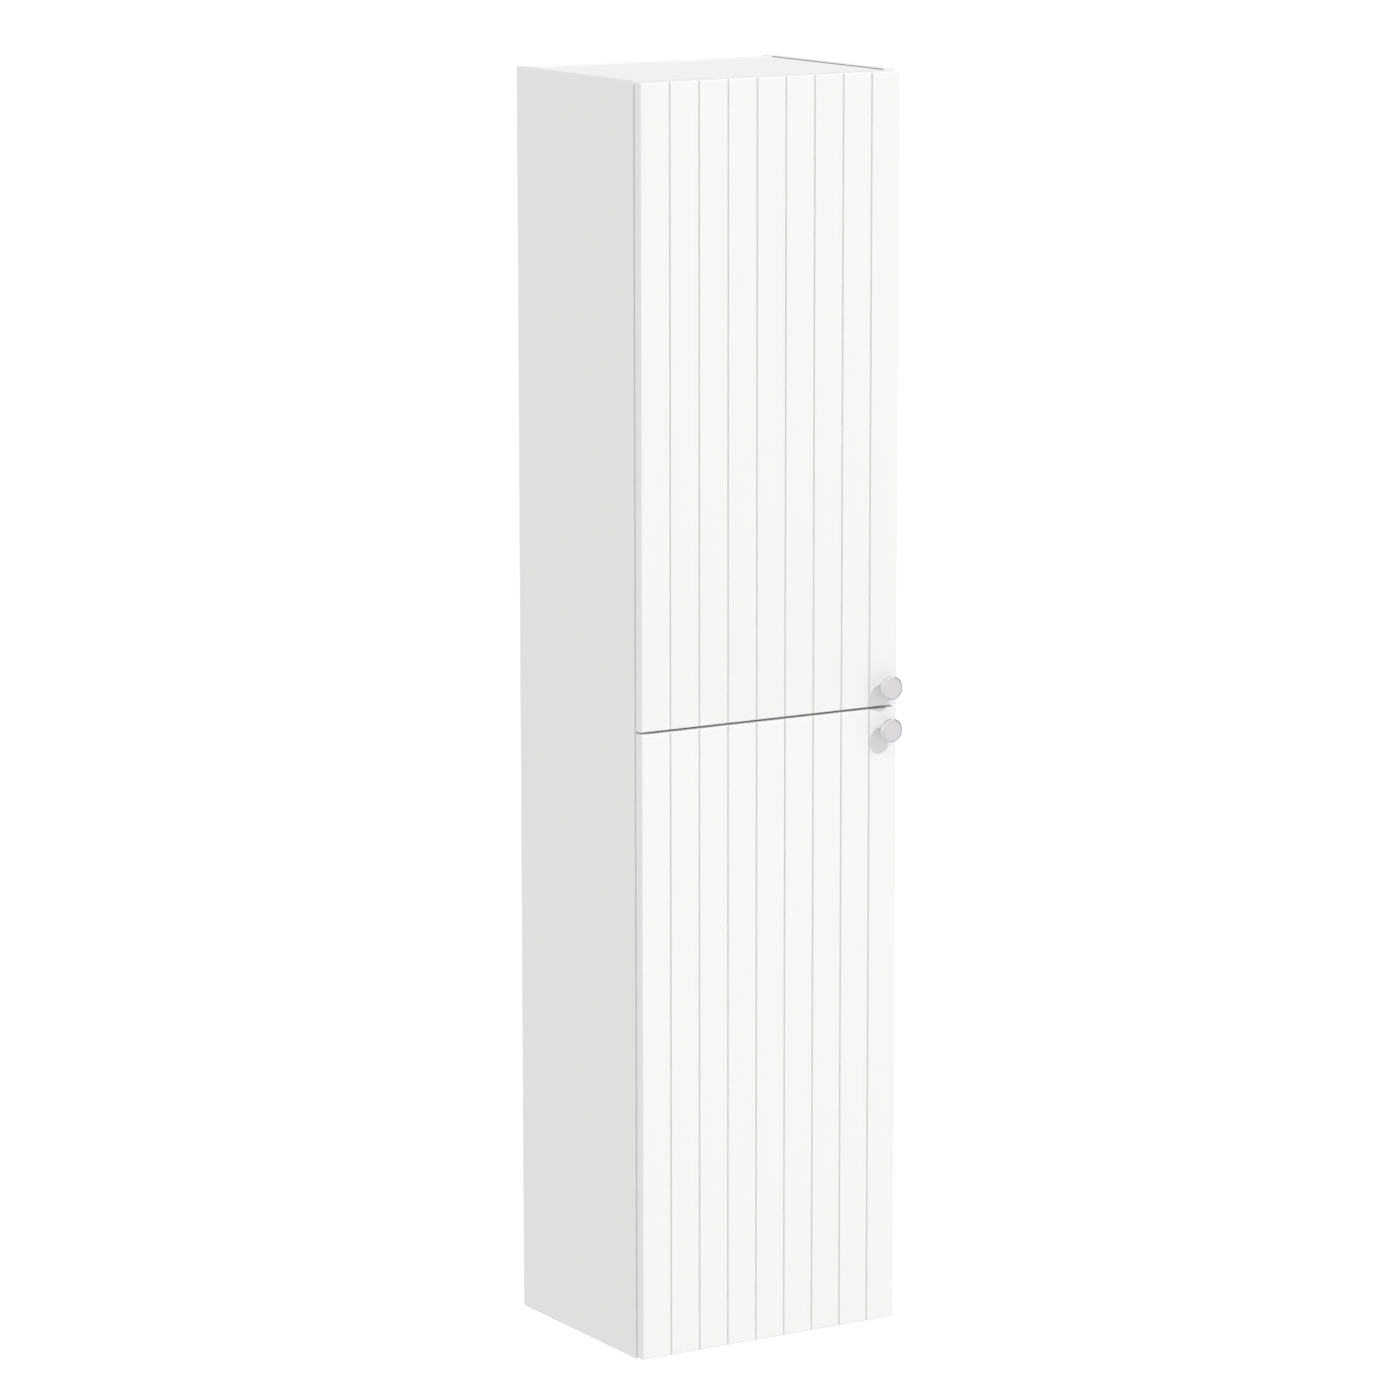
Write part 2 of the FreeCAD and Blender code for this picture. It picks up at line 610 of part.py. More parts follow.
def hinge_plate(height):
    """A cross-shaped mounting plate: two wings on the side panel and the ridge under the arm."""
    half = ARM_HALF_HEIGHT - ARM_SHEET - PLATE_PLAY
    ridge_top = left_in + ARM_TOP - ARM_SHEET
    ridge = box(
        (left_in, ridge_top),
        (front + PLATE_FRONT, front + PLATE_REAR),
        (height - half, height + half),
    )
    row = front + PLATE_SCREW_SETBACK
    reach = PLATE_SCREW_SPACING / 2 + PLATE_WING_HALF_WIDTH
    wings = box(
        (left_in, left_in + PLATE_WING),
        (row - PLATE_WING_HALF_WIDTH, row + PLATE_WING_HALF_WIDTH),
        (height - reach, height + reach),
    )
    wings = bevel_edges(wings, PLATE_WING_CORNER, lambda p: abs(p.z - height) > reach - NEAR
                        and abs(p.x - left_in - PLATE_WING / 2) < NEAR)
    holes = [hole(Vector(left_in + PLATE_WING, spot, z), -ALONG_X, PLATE_SCREW_RADIUS, PLATE_WING)
             for spot, z in plate_screw_spots(height)]
    bite = CLAMP_SCREW_LENGTH - ARM_SHEET
    holes.append(hole(Vector(ridge_top, front + CLAMP_SCREW_SETBACK, height), -ALONG_X,
                      CLAMP_SCREW_RADIUS, bite + HOLE_EXTRA))
    return ridge.fuse(wings).removeSplitter().cut(holes)


def hinge_plate_screws():
    return [screw(Vector(left_in + PLATE_WING, row, height), -ALONG_X, PLATE_SCREW_RADIUS,
                  PLATE_SCREW_LENGTH, PLATE_SCREW_HEAD_RADIUS, PLATE_SCREW_HEAD)
            for _name, _place, centre in hinge_heights()
            for row, height in plate_screw_spots(centre)]


def hinge_clamp_screws():
    """The screws that fix the arms on their plates."""
    seats = [Vector(left_in + ARM_TOP, front + CLAMP_SCREW_SETBACK, height)
             for _name, _place, height in hinge_heights()]
    return [screw(seat, -ALONG_X, CLAMP_SCREW_RADIUS, CLAMP_SCREW_LENGTH, CLAMP_SCREW_HEAD_RADIUS,
                  CLAMP_SCREW_HEAD) for seat in seats]


# Hangers, hooks and wall plates

def adjuster_heights():
    centre = hanger_top - HANGER_HEIGHT / 2
    return centre - ADJUSTER_SPACING / 2, centre + ADJUSTER_SPACING / 2


def fixing_spots():
    """Depth and height of the screws that fix a hanger to its side panel."""
    centre = hanger_top - HANGER_HEIGHT / 2 - FIXING_DROP
    for side in (-1, 1):
        yield hanger_front + FIXING_SETBACK, centre + side * FIXING_SPACING / 2


def hanger(centre):
    """A housing in the corner with the slot of the hook and the holes of its screws."""
    x_span = (centre - HANGER_WIDTH / 2, centre + HANGER_WIDTH / 2)
    housing = box(x_span, (hanger_front, hanger_rear), (hanger_top - HANGER_HEIGHT, hanger_top))
    housing = bevel_edges(housing, HANGER_EDGE, lambda p: abs(p.y - hanger_front) < NEAR)
    half = HOOK_THICKNESS / 2 + HOOK_PLAY
    cuts = [box(
        (centre - half, centre + half),
        (hanger_rear - HOOK_INSIDE - HOOK_PLAY, hanger_rear),
        (hook_bottom - HOOK_PLAY, hook_top + HOOK_PLAY),
    )]
    for height in adjuster_heights():
        cuts.append(hole(Vector(centre, hanger_front, height), ALONG_Y, ADJUSTER_SHANK_RADIUS,
                         ADJUSTER_DEPTH + HOLE_EXTRA))
    for row, height in fixing_spots():
        cuts.append(hole(Vector(x_span[0], row, height), ALONG_X, FIXING_RADIUS, HANGER_WIDTH))
    return housing.cut(cuts)


def hanger_fixing_screws():
    screws = []
    for centre, outward in ((-hanger_centre, -1), (hanger_centre, 1)):
        for row, height in fixing_spots():
            seat = Vector(centre - outward * HANGER_WIDTH / 2, row, height)
            screws.append(screw(seat, ALONG_X * outward, FIXING_RADIUS, HANGER_WIDTH + FIXING_BITE,
                                FIXING_HEAD_RADIUS, FIXING_HEAD))
    return screws


def hanger_adjusters():
    """The adjusting screws on the fronts of the hangers."""
    return [screw(Vector(centre, hanger_front, height), ALONG_Y, ADJUSTER_SHANK_RADIUS,
                  ADJUSTER_DEPTH, ADJUSTER_RADIUS, ADJUSTER_HEAD)
            for centre in (-hanger_centre, hanger_centre) for height in adjuster_heights()]


def hanger_hook(centre):
    """A steel strap with a notch that drops over the lip of the wall plate."""
    notch_front = lip_front - HOOK_PLAY
    notch_rear = -WALL_LIP_OFFSET + HOOK_PLAY
    start = hanger_rear - HOOK_INSIDE
    tip = -HOOK_TO_WALL
    outline = [
        (start, hook_bottom), (notch_front, hook_bottom), (notch_front, WALL_LIP_TOP),
        (notch_rear, WALL_LIP_TOP), (notch_rear, hook_bottom), (tip, hook_bottom),
        (tip, hook_top - HOOK_TIP_CHAMFER), (tip - HOOK_TIP_CHAMFER, hook_top), (start, hook_top),
    ]
    points = [Vector(centre - HOOK_THICKNESS / 2, y, z) for y, z in outline]
    return prism(points, ALONG_X, HOOK_THICKNESS)


def wall_plate(centre):
    """A joggled steel plate on the wall, with two screw holes and a raised lip."""
    sheet = WALL_PLATE_SHEET
    bend = sheet * (math.sqrt(2) - 1)
    outline = [
        (0, -WALL_PLATE_FOOT), (0, WALL_LIP_START), (-WALL_LIP_OFFSET, WALL_LIP_START + WALL_LIP_OFFSET),
        (-WALL_LIP_OFFSET, WALL_LIP_TOP), (lip_front, WALL_LIP_TOP),
        (lip_front, WALL_LIP_START + WALL_LIP_OFFSET - bend), (-sheet, WALL_LIP_START - bend),
        (-sheet, -WALL_PLATE_FOOT),
    ]
    points = [Vector(centre - WALL_PLATE_WIDTH / 2, y, z) for y, z in outline]
    plate = prism(points, ALONG_X, WALL_PLATE_WIDTH)
    holes = [rod(Vector(centre, 0, side * WALL_SCREW_SPACING / 2), -ALONG_Y, WALL_SCREW_RADIUS, sheet)
             for side in (-1, 1)]
    return plate.cut(holes)


def build():
    nodes = {
        "left_side_panel": side_panel(left_in, -1),
        "right_side_panel": side_panel(right_in, 1),
        "top_panel": board(top_board),
        "bottom_panel": board(bottom_board),
        "middle_shelf": board(middle_board),
        "back_panel": back_panel(),
        "joint_tongues": Part.makeCompound(joint_tongues()),
        "shelf_pegs": Part.makeCompound(shelf_pegs()),
        "hinge_plate_screws": Part.makeCompound(hinge_plate_screws()),
        "hinge_clamp_screws": Part.makeCompound(hinge_clamp_screws()),
        "hanger_adjusters": Part.makeCompound(hanger_adjusters()),
        "hanger_fixing_screws": Part.makeCompound(hanger_fixing_screws()),
    }
    for section, place, underside in shelf_heights():
        nodes[f"{section}_glass_shelf_{place}"] = glass_shelf(underside)
    for name, side in (("left", -1), ("right", 1)):
        nodes[f"{name}_hanger"] = hanger(side * hanger_centre)
        nodes[f"{name}_hanger_hook"] = hanger_hook(side * hanger_centre)
        nodes[f"{name}_wall_plate"] = wall_plate(side * wall_plate_centre)
    for name, place, height in hinge_heights():
        nodes[f"{name}_door_{place}_hinge_plate"] = hinge_plate(height)
        nodes[f"{name}_door_{place}_hinge_arm"] = hinge_arm(height)
    for name, span in door_spans.items():
        heights = hinge_centres(span)
        nodes[f"{name}_door"] = door(span)
        nodes[f"{name}_door_knob"] = knob(span)
        nodes[f"{name}_door_knob_screw"] = knob_screw(span)
        nodes[f"{name}_door_buffers"] = Part.makeCompound(door_buffers(span))
        nodes[f"{name}_door_cup_screws"] = Part.makeCompound(cup_screws(span))
        nodes[f"{name}_door_hinge_cups"] = Part.makeCompound([hinge_cup(z) for z in heights])
        nodes[f"{name}_door_inner_links"] = Part.makeCompound([inner_link(z) for z in heights])
        nodes[f"{name}_door_outer_links"] = Part.makeCompound([outer_link(z) for z in heights])
    return nodes


os.makedirs("parts", exist_ok=True)
for node, shape in build().items():
    shape.exportStep(f"parts/{node}.step")
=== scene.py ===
"""A tall wall-hung bathroom cabinet, dressed for a picture.

The CAD frame gives the place of every piece. The doors, knobs, screws, pegs and buffers are
modelled afresh. The other pieces keep the frame's shape, with their edges eased. Lengths are in
metres.
"""

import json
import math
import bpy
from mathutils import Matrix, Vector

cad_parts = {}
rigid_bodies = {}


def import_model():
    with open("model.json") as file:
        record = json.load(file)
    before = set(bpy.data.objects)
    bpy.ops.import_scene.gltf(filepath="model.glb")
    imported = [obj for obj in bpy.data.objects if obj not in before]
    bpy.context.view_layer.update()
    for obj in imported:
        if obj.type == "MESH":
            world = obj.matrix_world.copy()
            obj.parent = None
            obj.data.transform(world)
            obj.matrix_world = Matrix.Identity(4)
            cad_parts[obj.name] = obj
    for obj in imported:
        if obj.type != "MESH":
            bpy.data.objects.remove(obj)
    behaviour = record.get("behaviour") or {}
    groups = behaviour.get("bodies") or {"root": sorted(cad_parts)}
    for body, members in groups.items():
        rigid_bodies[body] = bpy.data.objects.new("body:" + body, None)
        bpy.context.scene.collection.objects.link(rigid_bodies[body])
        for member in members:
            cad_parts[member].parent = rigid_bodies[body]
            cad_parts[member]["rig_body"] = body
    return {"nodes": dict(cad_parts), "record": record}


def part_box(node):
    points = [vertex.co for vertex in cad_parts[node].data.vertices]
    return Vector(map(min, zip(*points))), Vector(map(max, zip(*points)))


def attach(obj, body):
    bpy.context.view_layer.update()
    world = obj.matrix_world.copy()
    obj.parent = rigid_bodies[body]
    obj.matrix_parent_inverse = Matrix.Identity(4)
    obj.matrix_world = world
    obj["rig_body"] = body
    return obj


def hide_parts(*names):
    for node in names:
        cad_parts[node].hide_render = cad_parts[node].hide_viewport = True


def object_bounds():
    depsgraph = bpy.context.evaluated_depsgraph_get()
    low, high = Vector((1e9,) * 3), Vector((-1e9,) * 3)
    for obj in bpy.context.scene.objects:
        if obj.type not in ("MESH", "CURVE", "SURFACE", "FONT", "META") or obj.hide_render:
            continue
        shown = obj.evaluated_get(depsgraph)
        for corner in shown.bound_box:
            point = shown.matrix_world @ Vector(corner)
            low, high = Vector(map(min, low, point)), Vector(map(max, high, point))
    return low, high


bl_info = {
    "name": "Tall Bathroom Cabinet",
    "version": (1, 1, 0),
    "blender": (4, 5, 0),
    "location": "View3D > Sidebar > Cabinet",
    "description": "Builds the pieces of a tall wall-hung bathroom cabinet and a studio around it",
    "category": "Object",
}

import bmesh
import bpy
from mathutils import Matrix, Vector

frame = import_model()
cad_low, cad_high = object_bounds()

DOORS = ("upper", "lower")
SIDES = ("left", "right")
SLOTS = {each["node"]: each["material_slot"] for each in frame["record"]["subparts"]}
MM = 0.001
CLOSE = 0.005 * MM             # places this near to each other are the same place

# How the mesh of a CAD node is read and eased.
MERGE_UNDER = 0.002 * MM       # points that lie nearer than this are one point
FLAT_UNDER = 0.5               # degrees; faces that turn less than this are one flat face
EASED_OVER = 40.0              # degrees; edges that turn more than this are rounded
SHORT_ON_BOARD = 12 * MM       # edges of a board up to this length stay as they are
SHORT_ON_HANGER = 3 * MM       # and so do edges of a hanger up to this one
SMOOTH_UNDER = 35.0            # degrees; edges of a piece that turn more than this look sharp

# Sides of the round pieces.
SCREW_SIDES = 32
BUFFER_SIDES = 40
BORE_SIDES = 96
KNOB_SIDES = 128

# A screw's head: parts of its radius and of its height, from the middle of its face to its edge.
HEAD_DOME = ((0.70, 0.0), (0.84, 0.06), (0.94, 0.22), (0.99, 0.45), (1.0, 0.7), (1.0, 1.0))
# Its tip: parts of the shank's radius, and distances from the end in the same unit.
SCREW_TIP = ((1.0, 1.0), (0.45, 0.3), (0.2, 0.0))
CROSS_REACH = 0.52             # length of an arm of the cross over the head's radius
CROSS_DEPTH = 0.55             # its depth over the head's height
CROSS_ARM = 0.2                # half the width of an arm over its length
CROSS_TAPER = 0.6              # size of the cross at its floor

PEG_EASE = 0.5 * MM            # ends of the shelf pegs
KNOB_NECK = 1.5 * MM           # round between a knob's stem and its disc
KNOB_REAR = 0.8 * MM           # round at the rear of its rim
KNOB_BEVEL = 1.0 * MM          # polished bevel at the front of its rim

GROOVE_BULGE = 0.1 * MM        # fullness of the eased corners at a groove's mouth
GROOVE_FLARE = 0.05 * MM       # how far its walls stand back where the bevel at its floor starts
GROOVE_BEVEL = 0.3 * MM        # bevel along both sides of its floor
BACK_EASE = 0.4 * MM           # bevel of the doors' rear edges
BORE_PLAY = 0.1 * MM           # between a hinge cup and the wall of its bore
BORE_FLOOR = 0.3 * MM          # between a hinge cup and the floor of its bore

DARK_GRAIN = 0.75              # how bright the dark grain of beech is beside the light grain

FLOOR_REACH = 60.0
LAMP_DISTANCE = 5.0
# The dark panel that gloss sees on the right: the part of a direction that points right where the
# panel begins and where it is darkest, and its light there.
PANEL_START, PANEL_END, PANEL_LIGHT = 0.66, 0.82, 0.1

# The camera, fitted to the edges and grooves of the cabinet in the photograph.
IMAGE_SIDE = 1400              # pixels
CAMERA_FOCAL = 5911.04         # pixels
CAMERA_TURN = 0.548944         # radians, to the left of straight in front
CAMERA_RISE = 0.180976         # radians, above the horizon
CAMERA_ROLL = -0.000436        # radians
CAMERA_DISTANCE = 7.958265
CAMERA_ASIDE, CAMERA_ABOVE = -0.006374, 0.00041
CAMERA_AIM = Vector((0.0, -0.15, -0.79))


# Materials. One that finishes a slot of the record has that slot's name.

def new_material(name, colour, roughness, metallic=0.0):
    """Makes a material, and gives its nodes, its links and its shader."""
    material = bpy.data.materials.new(name)
    material.use_nodes = True
    nodes = material.node_tree.nodes
    shader = nodes["Principled BSDF"]
    shader.inputs["Base Color"].default_value = (*colour, 1.0)
    shader.inputs["Roughness"].default_value = roughness
    shader.inputs["Metallic"].default_value = metallic
    return nodes, material.node_tree.links, shader


def add_noise(nodes, links, scale, stretch=(1, 1, 1)):
    """Noise that is fixed to the object."""
    place = nodes.new("ShaderNodeTexCoord")
    mapping = nodes.new("ShaderNodeMapping")
    mapping.inputs["Scale"].default_value = stretch
    noise = nodes.new("ShaderNodeTexNoise")
    noise.inputs["Scale"].default_value = scale
    noise.inputs["Detail"].default_value = 3.0
    links.new(place.outputs["Object"], mapping.inputs["Vector"])
    links.new(mapping.outputs["Vector"], noise.inputs["Vector"])
    return noise


def add_bump(nodes, links, shader, noise, strength, height):
    """Raises and lowers the surface with the noise."""
    bump = nodes.new("ShaderNodeBump")
    bump.inputs["Strength"].default_value = strength
    bump.inputs["Distance"].default_value = height
    links.new(noise.outputs["Fac"], bump.inputs["Height"])
    links.new(bump.outputs["Normal"], shader.inputs["Normal"])


def vary_gloss(nodes, links, shader, noise, least, most):
    """Lets the roughness run between two values with the noise."""
    spread = nodes.new("ShaderNodeMapRange")
    spread.inputs["To Min"].default_value = least
    spread.inputs["To Max"].default_value = most
    links.new(noise.outputs["Fac"], spread.inputs["Value"])
    links.new(spread.outputs["Result"], shader.inputs["Roughness"])


def lacquer_material(looks):
    """Smooth lacquer with the faint ripple that spraying leaves."""
    nodes, links, shader = new_material("white_lacquer", looks.lacquer, looks.lacquer_gloss)
    ripple = add_noise(nodes, links, scale=700.0)
    add_bump(nodes, links, shader, ripple, strength=0.04, height=0.1 * MM)


def metal_material(name, colour, roughness, stretch=(1, 1, 1), metallic=1.0):
    """Metal whose gloss varies a little with its grain."""
    nodes, links, shader = new_material(name, colour, roughness, metallic)
    grain = add_noise(nodes, links, scale=900.0, stretch=stretch)
    add_bump(nodes, links, shader, grain, strength=0.05, height=0.05 * MM)
    vary_gloss(nodes, links, shader, grain, least=roughness - 0.05, most=roughness + 0.07)


def glass_material(looks):
    """Clear glass whose gloss varies a little."""
    nodes, links, shader = new_material("clear_glass", looks.glass, roughness=0.01)
    wiping = add_noise(nodes, links, scale=12.0)
    vary_gloss(nodes, links, shader, wiping, least=0.0, most=0.03)
    shader.inputs["Transmission Weight"].default_value = 1.0
    shader.inputs["IOR"].default_value = 1.5


def plastic_material(name, colour, roughness):
    """Moulded plastic or paint with a fine grain."""
    nodes, links, shader = new_material(name, colour, roughness)
    grain = add_noise(nodes, links, scale=1600.0)
    add_bump(nodes, links, shader, grain, strength=0.04, height=0.05 * MM)


def beech_material(looks):
    """Beech with its grain along the cabinet's depth."""
    nodes, links, shader = new_material("beech", looks.beech, roughness=0.6)
    grain = add_noise(nodes, links, scale=6.0, stretch=(60, 4, 60))
    ramp = nodes.new("ShaderNodeValToRGB")
    ramp.color_ramp.elements[0].color = (*[part * DARK_GRAIN for part in looks.beech], 1)
    ramp.color_ramp.elements[1].color = (*looks.beech, 1)
    links.new(grain.outputs["Fac"], ramp.inputs["Fac"])
    links.new(ramp.outputs["Color"], shader.inputs["Base Color"])


# Meshes

def finish_piece(node, data, extra_materials=(), sharp=SMOOTH_UNDER):
    """Turns a bmesh into the piece that stands for a CAD node, with its finish and on its body."""
    mesh = bpy.data.meshes.new(f"{node}_fine")
    bmesh.ops.recalc_face_normals(data, faces=data.faces)
    data.to_mesh(mesh)
    data.free()
    for material in (SLOTS[node], *extra_materials):
        mesh.materials.append(bpy.data.materials[material])
    mesh.polygons.foreach_set("use_smooth", [True] * len(mesh.polygons))
    mesh.set_sharp_from_angle(angle=math.radians(sharp))
    piece = bpy.data.objects.new(f"{node}_fine", mesh)
    bpy.context.scene.collection.objects.link(piece)
    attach(piece, frame["nodes"][node]["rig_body"])
    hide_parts(node)
    return piece


def node_mesh(node):
    """A CAD node as a bmesh with its flat faces whole."""
    data = bmesh.new()
    data.from_mesh(frame["nodes"][node].data)
    bmesh.ops.remove_doubles(data, verts=data.verts, dist=MERGE_UNDER)
    bmesh.ops.dissolve_limit(data, angle_limit=math.radians(FLAT_UNDER), verts=data.verts,
                             edges=data.edges)
    return data


def eased(node, width, shortest=0.0, segments=2):
    """The mesh of a CAD node with its sharp edges rounded, apart from the shortest."""
    data = node_mesh(node)
    edges = [edge for edge in data.edges
             if len(edge.link_faces) == 2 and edge.calc_face_angle() > math.radians(EASED_OVER)
             and edge.calc_length() > shortest]
    bmesh.ops.bevel(data, geom=edges, offset=width, offset_type="OFFSET", segments=segments,
                    profile=0.5, affect="EDGES", clamp_overlap=True, material=-1)
    return data


def bake(piece):
    """Makes what the modifiers of a piece do a part of its mesh."""
    bpy.context.view_layer.update()
    graph = bpy.context.evaluated_depsgraph_get()
    result = bpy.data.meshes.new_from_object(piece.evaluated_get(graph))
    piece.modifiers.clear()
    old = piece.data
    piece.data = result
    bpy.data.meshes.remove(old)


def level_shading(piece):
    """Lets large faces set the shading at their borders, so that flat ones look flat."""
    piece.modifiers.new("level", "WEIGHTED_NORMAL").keep_sharp = True
    bake(piece)
    return piece


def soften(node, width, shortest=0.0, segments=2):
    """The piece that shows a CAD node with rounded edges."""
    return level_shading(finish_piece(node, eased(node, width, shortest, segments)))


def solids_of(node):
    """The separate solids of a CAD node, each as a list of its points."""
    data = node_mesh(node)
    seen = set()
    solids = []
    for first in data.verts:
        if first in seen:
            continue
        seen.add(first)
        group = [first]
        for vertex in group:
            for edge in vertex.link_edges:
                other = edge.other_vert(vertex)
                if other not in seen:
                    seen.add(other)
                    group.append(other)
        solids.append([vertex.co.copy() for vertex in group])
    data.free()
    return solids


def measure(points, axis):
    """Middle of a turned solid's start, and its widest radius at each reach along the axis."""
    low = Vector([min(point[part] for point in points) for part in range(3)])
    high = Vector([max(point[part] for point in points) for part in range(3)])
    middle = (low + high) / 2
    reaches = [(point - middle).dot(axis) for point in points]
    start = middle + axis * min(reaches)
    steps = {}
    for point in points:
        reach = round((point - start).dot(axis), 5)
        away = (point - start - axis * (point - start).dot(axis)).length
        steps[reach] = max(steps.get(reach, 0), away)
    return start, sorted(steps.items())


def turned(data, start, axis, profile, sides):
    """Spins pairs of radius and reach about an axis. Both ends of the shape stay open."""
    beside = axis.orthogonal().normalized()
    points = [data.verts.new(start + axis * reach + beside * radius) for radius, reach in profile]
    edges = [data.edges.new(pair) for pair in zip(points, points[1:])]
    bmesh.ops.spin(data, geom=points + edges, cent=start, axis=axis, angle=2 * math.pi,
                   steps=sides, use_merge=True, use_duplicate=False)


def open_ends(data, start, axis, reach):
    """The open edges at a reach along the axis."""
    return [edge for edge in data.edges if edge.is_boundary
            and all(abs((end.co - start).dot(axis) - reach) < CLOSE for end in edge.verts)]


def close_ends(data):
    """Closes every open loop of edges with a flat face."""
    bmesh.ops.edgeloop_fill(data, edges=[edge for edge in data.edges if edge.is_boundary])


def cross_recess(data, start, axis, radius, depth):
    """Closes the open face of a screw head with a tapered cross."""
    beside = axis.orthogonal().normalized()
    across = axis.cross(beside)
    wide = radius * CROSS_ARM
    outline = []
    for quarter in range(4):
        turn = math.pi / 2 * quarter
        along = beside * math.cos(turn) + across * math.sin(turn)
        aside = axis.cross(along)
        outline += [along * radius - aside * wide, along * radius + aside * wide,
                    along * wide + aside * wide]
    cross = data.faces.new([data.verts.new(start + corner) for corner in outline])
    floor = bmesh.ops.extrude_discrete_faces(data, faces=[cross])["faces"][0]
    for corner in floor.verts:
        corner.co = start + (corner.co - start) * CROSS_TAPER + axis * depth
    bmesh.ops.triangle_fill(data, use_beauty=True, edges=open_ends(data, start, axis, 0.0))


def screws(node, axis=None):
    """Round screws with domed heads and cross recesses in the place of a node's plain ones."""
    data = bmesh.new()
    for points in solids_of(node):
        along = axis or long_axis(points)
        start, steps = measure(points, along)
        if steps[0][1] < steps[-1][1]:
            along = -along
            start, steps = measure(points, along)
        length, shank = steps[-1]
        head, height = steps[0][1], steps[1][0]
        profile = [(head * wide, height * away) for wide, away in HEAD_DOME]
        profile.append((shank, height))
        profile += [(shank * wide, length - shank * away) for wide, away in SCREW_TIP]
        turned(data, start, along, profile, SCREW_SIDES)
        bmesh.ops.edgeloop_fill(data, edges=open_ends(data, start, along, length))
        cross_recess(data, start, along, head * CROSS_REACH, height * CROSS_DEPTH)
    return finish_piece(node, data, sharp=30.0)


def long_axis(points):
    """The direction in which a solid is longest."""
    spans = [max(point[part] for point in points) - min(point[part] for point in points)
             for part in range(3)]
    along = Vector((0, 0, 0))
    along[spans.index(max(spans))] = 1.0
    return along


def pins(node, ease):
    """Round pins with eased ends in the place of a node's plain ones."""
    data = bmesh.new()
    for points in solids_of(node):
        along = long_axis(points)
        start, steps = measure(points, along)
        length, radius = steps[-1][0], steps[0][1]
        profile = [(radius - ease, 0.0), (radius - ease * 0.3, ease * 0.3), (radius, ease),
                   (radius, length - ease), (radius - ease * 0.3, length - ease * 0.3),
                   (radius - ease, length)]
        turned(data, start, along, profile, SCREW_SIDES)
        close_ends(data)
    return finish_piece(node, data)


def buffers(node):
    """Round domed buffers on the rear of a door."""
    rearward = Vector((0, 1, 0))
    data = bmesh.new()
    for points in solids_of(node):
        start, steps = measure(points, rearward)
        height, radius = steps[-1][0], steps[0][1]
        profile = [(radius, 0.0), (radius, height * 0.1)]
        profile += [(radius * math.cos(turn), height * math.sin(turn))
                    for turn in (math.radians(step * 10) for step in range(1, 9))]
        turned(data, start, rearward, profile, BUFFER_SIDES)
        close_ends(data)
    return finish_piece(node, data, sharp=50.0)


# Side panels

def build_side(sizes, side):
    """A side panel. A dark band of painted shade on its inner face, above the top board, stands in
    for the shade in the joint there.
    """
    node = f"{side}_side_panel"
    data = eased(node, sizes.board_ease, shortest=SHORT_ON_BOARD)
    inward = 1 if side == "left" else -1
    _low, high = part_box("top_panel")
    level = high.z - sizes.joint_shade_depth
    for place, facing in (((0, 0, level), (0, 0, 1)), ((0, high.y, 0), (0, 1, 0))):
        everything = [*data.verts, *data.edges, *data.faces]
        bmesh.ops.bisect_plane(data, geom=everything, plane_co=place, plane_no=facing)
    # Painted shade: the inner face above the top board takes the dark material in place of the
    # shade that falls there.
    for each in data.faces:
        middle = each.calc_center_median()
        if each.normal.x * inward > 0.9 and middle.z > level and middle.y < high.y:
            each.material_index = 1
    return level_shading(finish_piece(node, data, ("painted_joint_shade",)))


# Doors

def groove_outline(sizes):
    """Places across a groove and depths there, with eased corners at its mouth and its floor."""
    half, neck, floor = sizes.groove_width / 2, sizes.groove_neck / 2, sizes.groove_floor / 2
    depth, ease, steps = sizes.groove_depth, sizes.groove_ease, 4
    side = []
    for step in range(steps + 1):
        part = step / steps
        bulge = 2 * part * (1 - part) * (neck + GROOVE_BULGE)
        side.append(((1 - part) ** 2 * half + bulge + part ** 2 * neck, part ** 2 * ease))
    side += [(floor + GROOVE_FLARE, depth - GROOVE_BEVEL),
             (floor + GROOVE_FLARE - GROOVE_BEVEL, depth)]
    return [(-x, y) for x, y in side] + side[::-1]


def round_over(away, radius):
    """Depth of a rounded edge at a distance from the edge."""
    if away >= radius:
        return 0.0
    return radius - math.sqrt(max(radius ** 2 - (radius - away) ** 2, 0.0))


def edge_steps(radius, steps=6):
    """Distances from an edge at which its rounding is modelled."""
    return [radius - radius * math.cos(math.pi / 2 * step / steps) for step in range(steps + 1)]


